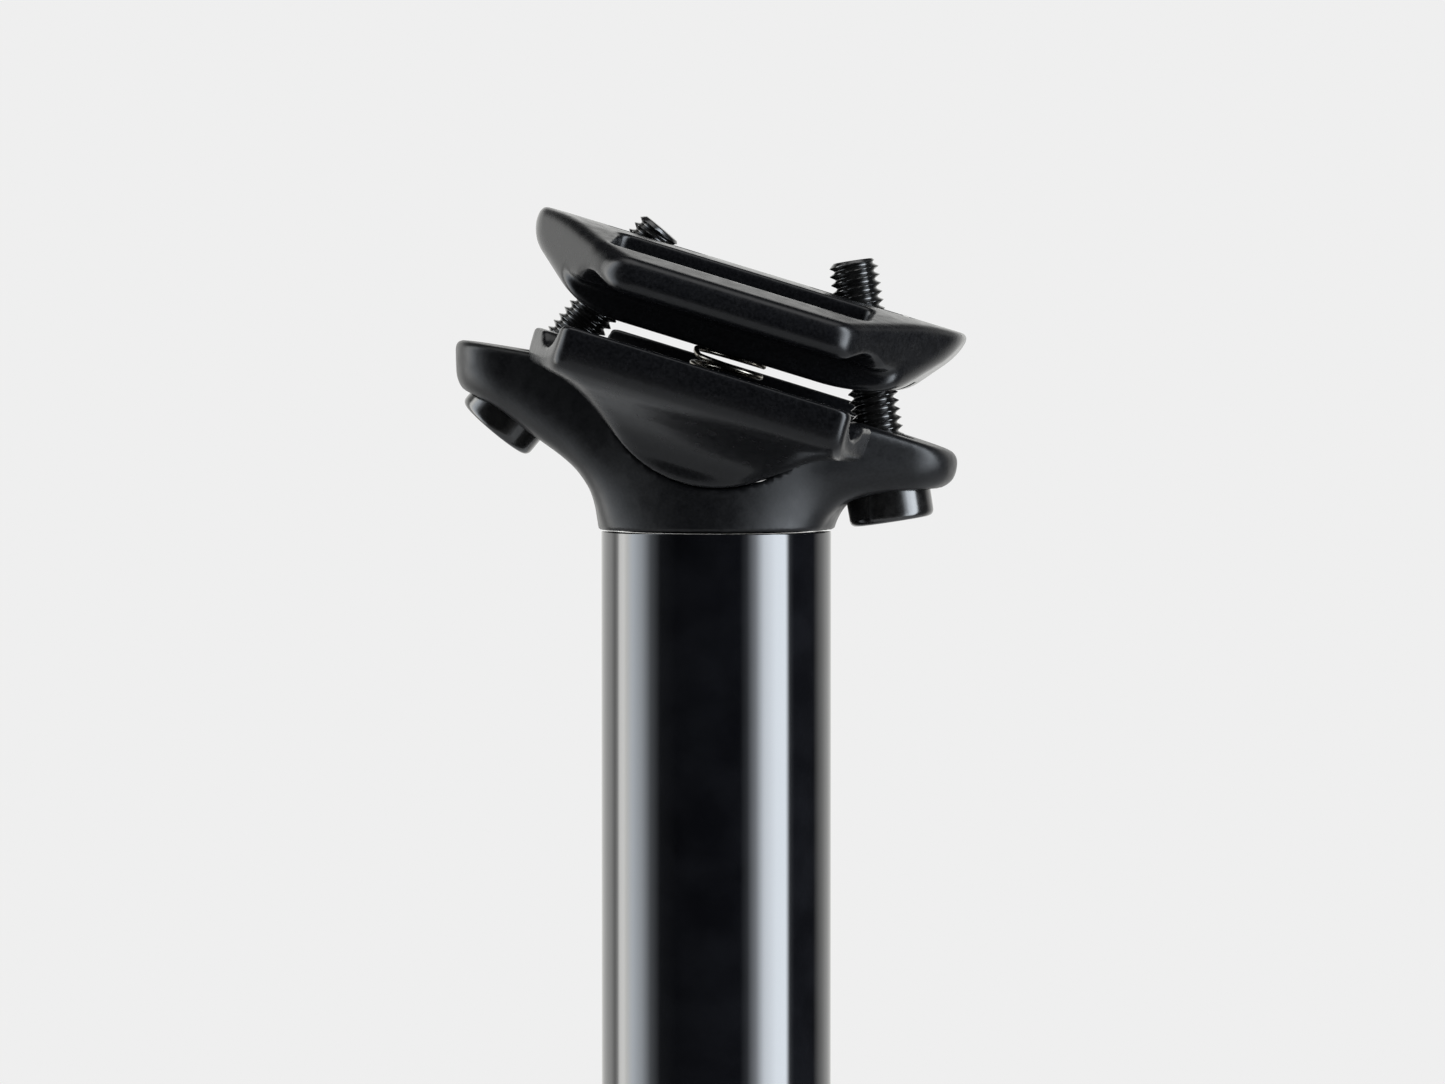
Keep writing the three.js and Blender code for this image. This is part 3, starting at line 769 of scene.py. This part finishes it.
def make_main_spring():
    """One coil in two lengths: the lower is set on the spring carrier, the upper on the post."""
    low, high = (corner.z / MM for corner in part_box("main_spring"))
    wire, radius, turns, steps, lower_turns = 1.5, 8.0, 14, 32, 4
    t = np.linspace(0, 1, turns * steps + 1)
    angle = 2 * math.pi * turns * t
    height = low + wire + (high - low - 2 * wire) * t
    path = np.stack([radius * np.cos(angle), radius * np.sin(angle), height], 1)
    split = lower_turns * steps
    lower = swept("coil_spring", path[:split + 1], wire, 12)
    finish_piece(lower, SPRING_WIRE, "spring_steel", "spring_carrier", "main_spring")
    gives(lower)
    upper = swept("coil_spring_upper", path[split:], wire, 12)
    finish_piece(upper, SPRING_WIRE, "spring_steel", "post")
    gives(upper)


def gives(piece):
    """Gives a length of coil a mesh of its own."""
    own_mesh(piece)


def make_preload_plug():
    low, high = (corner.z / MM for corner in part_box("preload_plug"))

    def field(x, y, z):
        r = np.hypot(x, y)
        body = smax(smax(r - 14.1, low - z, 1), z - high, 0.6)
        return cut(body, np.maximum(hexagon(x, y, 8), z - low - 8), 0.3)

    piece = surface("preload_screw_plug", field, (-15, -15, low - 1), (15, 15, high + 1), 0.4)
    finish_piece(piece, ALLOY, "plain_alloy", "preload_screw", "preload_plug")


CARRIED_OVER = {
    "upper_bushing": POLYMER, "foot_bushing": POLYMER, "topout_bumper": RUBBER, "bottom_bumper": ELASTOMER,
    "topout_ring": SPRING_WIRE, "spring_seat_pin": SPRING_WIRE, "key_1": OXIDE, "key_2": OXIDE,
    "key_3": OXIDE, "foot_nut": ALLOY, "upper_spring_seat": ALLOY, "lower_spring_seat": ALLOY,
}

make_outer_tube()
make_collar()
make_wiper()
make_shaft()
make_head()
make_lower_cradle()
make_upper_cradle()
make_clamp_spring()
for end in BOLTS:
    make_bolt(end)
    make_nut(end)
    make_washer(end)
make_main_spring()
make_preload_plug()
for node, material in CARRIED_OVER.items():
    mesh = frame["nodes"][node].data
    mesh.materials.clear()
    mesh.materials.append(material)

# ---------------------------------------------------------------- stage, light and camera

CAMERA_AZIMUTH = math.radians(5)
CAMERA_ELEVATION = math.radians(2)
CAMERA_DISTANCE = 580.0


def make_floor():
    bpy.ops.mesh.primitive_circle_add(vertices=96, radius=0.5, fill_type="NGON", location=(0, 0, -0.0002))
    floor = bpy.context.object
    floor.name = "floor"
    finish = Finish("pale_floor", 0.6)
    finish.colour(finish.noise(60), (0.46, 0.46, 0.46), (0.49, 0.49, 0.49))
    floor.data.materials.append(finish.material)


def make_world():
    """A white studio: a pale backdrop behind, dark in front, a strip light on each side, soft light above."""
    world = bpy.data.worlds.new("studio")
    bpy.context.scene.world = world
    world.use_nodes = True
    tree = world.node_tree
    tree.nodes.clear()
    new = tree.nodes.new

    def math_node(kind, a, b=None, c=None):
        node = new("ShaderNodeMath")
        node.operation = kind
        for socket, value in zip(node.inputs, (a, b, c)):
            if value is None:
                continue
            if isinstance(value, (int, float)):
                socket.default_value = value
            else:
                tree.links.new(value, socket)
        return node.outputs[0]

    way = new("ShaderNodeTexCoord").outputs["Generated"]
    turn = new("ShaderNodeVectorRotate")
    turn.rotation_type = "Z_AXIS"
    turn.inputs["Angle"].default_value = -CAMERA_AZIMUTH
    tree.links.new(way, turn.inputs["Vector"])
    split = new("ShaderNodeSeparateXYZ")
    tree.links.new(turn.outputs["Vector"], split.inputs["Vector"])
    x, y, z = split.outputs
    bearing = math_node("ARCTAN2", x, math_node("MULTIPLY", y, -1))
    around = math_node("MULTIPLY_ADD", bearing, 1 / (2 * math.pi), 0.5)
    ramp = new("ShaderNodeValToRGB")
    tree.links.new(around, ramp.inputs["Fac"])
    # How bright the studio is at each bearing, in degrees, with 0 behind the camera.
    lights = [
        (-180, 1.1), (-130, 1.2), (-122, 0.75), (-117, 1.5), (-113, 4.6), (-106, 5.6), (-101.5, 4.9),
        (-92, 4.6), (-80, 3.2), (-69, 0.8), (-58, 0.06), (-40, 0.01), (24, 0.01), (31, 0.3), (40, 2.3),
        (49, 7.5), (62, 9.8), (73.5, 9.8), (78, 0.3), (84, 0.02), (114, 0.02), (126, 0.6), (140, 0.95),
        (180, 1.1),
    ]
    brightest = 10.0
    cool = (0.93, 1.0, 1.08)
    stops = ramp.color_ramp.elements
    for i, (degrees, value) in enumerate(lights):
        place = degrees / 360 + 0.5
        stop = stops[i] if i < 2 else stops.new(place)
        stop.position = place
        level = value / brightest
        tint = cool if -100 < degrees < 100 else (1, 1, 0.98)
        stop.color = (level * tint[0], level * tint[1], level * tint[2], 1)
    height = math_node("ARCSINE", z)

    def fade(start, finish):
        node = new("ShaderNodeMapRange")
        node.interpolation_type = "SMOOTHSTEP"
        node.inputs["From Min"].default_value = math.radians(start)
        node.inputs["From Max"].default_value = math.radians(finish)
        tree.links.new(height, node.inputs["Value"])
        return node.outputs["Result"]

    def mixed(kind, a, b):
        node = new("ShaderNodeVectorMath")
        node.operation = kind
        for socket, value in zip(node.inputs, (a, b)):
            if isinstance(value, (int, float)):
                socket.default_value = (value, value, value)
            else:
                tree.links.new(value, socket)
        return node.outputs[0]

    # The strips at the sides are tall; the backdrop behind is low.
    reach = new("ShaderNodeMapRange")
    reach.inputs["From Min"].default_value = math.radians(100)
    reach.inputs["From Max"].default_value = math.radians(125)
    reach.inputs["To Min"].default_value = math.radians(56)
    reach.inputs["To Max"].default_value = math.radians(27)
    tree.links.new(math_node("ABSOLUTE", bearing), reach.inputs["Value"])
    short = math_node("DIVIDE", math_node("SUBTRACT", reach.outputs["Result"], height), math.radians(16))
    ceiling = math_node("MINIMUM", math_node("MAXIMUM", math_node("ADD", short, 0.5), 0.02), 1)
    level = math_node("MULTIPLY", fade(-46, -14), ceiling)
    sides = mixed("MULTIPLY", ramp.outputs["Color"], math_node("MULTIPLY", level, brightest))
    above = math_node("MULTIPLY", fade(62, 80), 1.6)
    below = math_node("MULTIPLY", math_node("SUBTRACT", 1, fade(-34, -14)),
                      math_node("MULTIPLY_ADD", fade(-74, -58), 0.12, 0.07))
    studio = mixed("ADD", sides, math_node("ADD", above, below))
    # The camera sees a plain backdrop and diffuse rays an even light; every other ray sees the studio.
    rays = new("ShaderNodeLightPath").outputs
    even = math_node("MULTIPLY_ADD", fade(0, 70), 0.5, 0.38)
    backdrop = 0.863
    mirrored = math_node("SUBTRACT", math_node("SUBTRACT", 1, rays["Is Camera Ray"]), rays["Is Diffuse Ray"])
    plain = math_node("ADD", math_node("MULTIPLY", rays["Is Camera Ray"], backdrop),
                      math_node("MULTIPLY", rays["Is Diffuse Ray"], even))
    colour = mixed("ADD", mixed("MULTIPLY", mirrored, studio), plain)
    background = new("ShaderNodeBackground")
    tree.links.new(colour, background.inputs["Color"])
    output = new("ShaderNodeOutputWorld")
    tree.links.new(background.outputs["Background"], output.inputs["Surface"])


def make_camera():
    a, e = CAMERA_AZIMUTH, CAMERA_ELEVATION
    forward = Vector((-math.sin(a) * math.cos(e), math.cos(a) * math.cos(e), -math.sin(e)))
    target = Vector((0.74 * math.cos(a), 0.74 * math.sin(a), SEAM - 1.0))
    camera = bpy.data.cameras.new("camera")
    camera.sensor_width = 36
    camera.lens = 122.2
    camera.clip_start = 0.01
    holder = bpy.data.objects.new("camera", camera)
    bpy.context.scene.collection.objects.link(holder)
    holder.location = (target - forward * CAMERA_DISTANCE) * MM
    holder.rotation_euler = forward.to_track_quat("-Z", "Y").to_euler()
    bpy.context.scene.camera = holder


make_floor()
make_world()
make_camera()
bpy.context.scene.view_settings.view_transform = "Standard"
